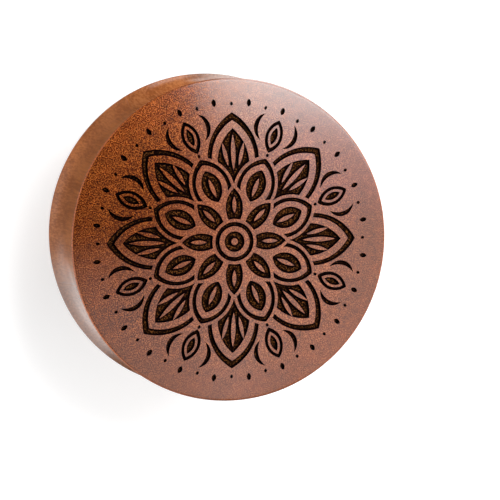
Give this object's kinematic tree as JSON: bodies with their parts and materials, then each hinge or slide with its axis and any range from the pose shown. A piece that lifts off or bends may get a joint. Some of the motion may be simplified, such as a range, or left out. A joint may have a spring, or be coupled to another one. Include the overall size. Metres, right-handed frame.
{
  "type": "ear plug gauge",
  "caption": "Double flared wooden ear plug: a solid turned body with a hollow waist, a flat back and a domed front engraved with a lotus rosette.",
  "frame": {"origin": "centre of the flat back face, which the plug lies on", "axes": "+Z is the plug's axis, from the back face to the domed engraved front; +Y is the top of the front as worn"},
  "size_m": [0.041, 0.041, 0.0161],
  "materials": {
    "wood": "fine-grained reddish-brown hardwood, oiled to a satin sheen, with the engraving burnt dark brown"
  },
  "bodies": {
    "root": {"plug_body": "wood"}
  },
  "joints": []
}
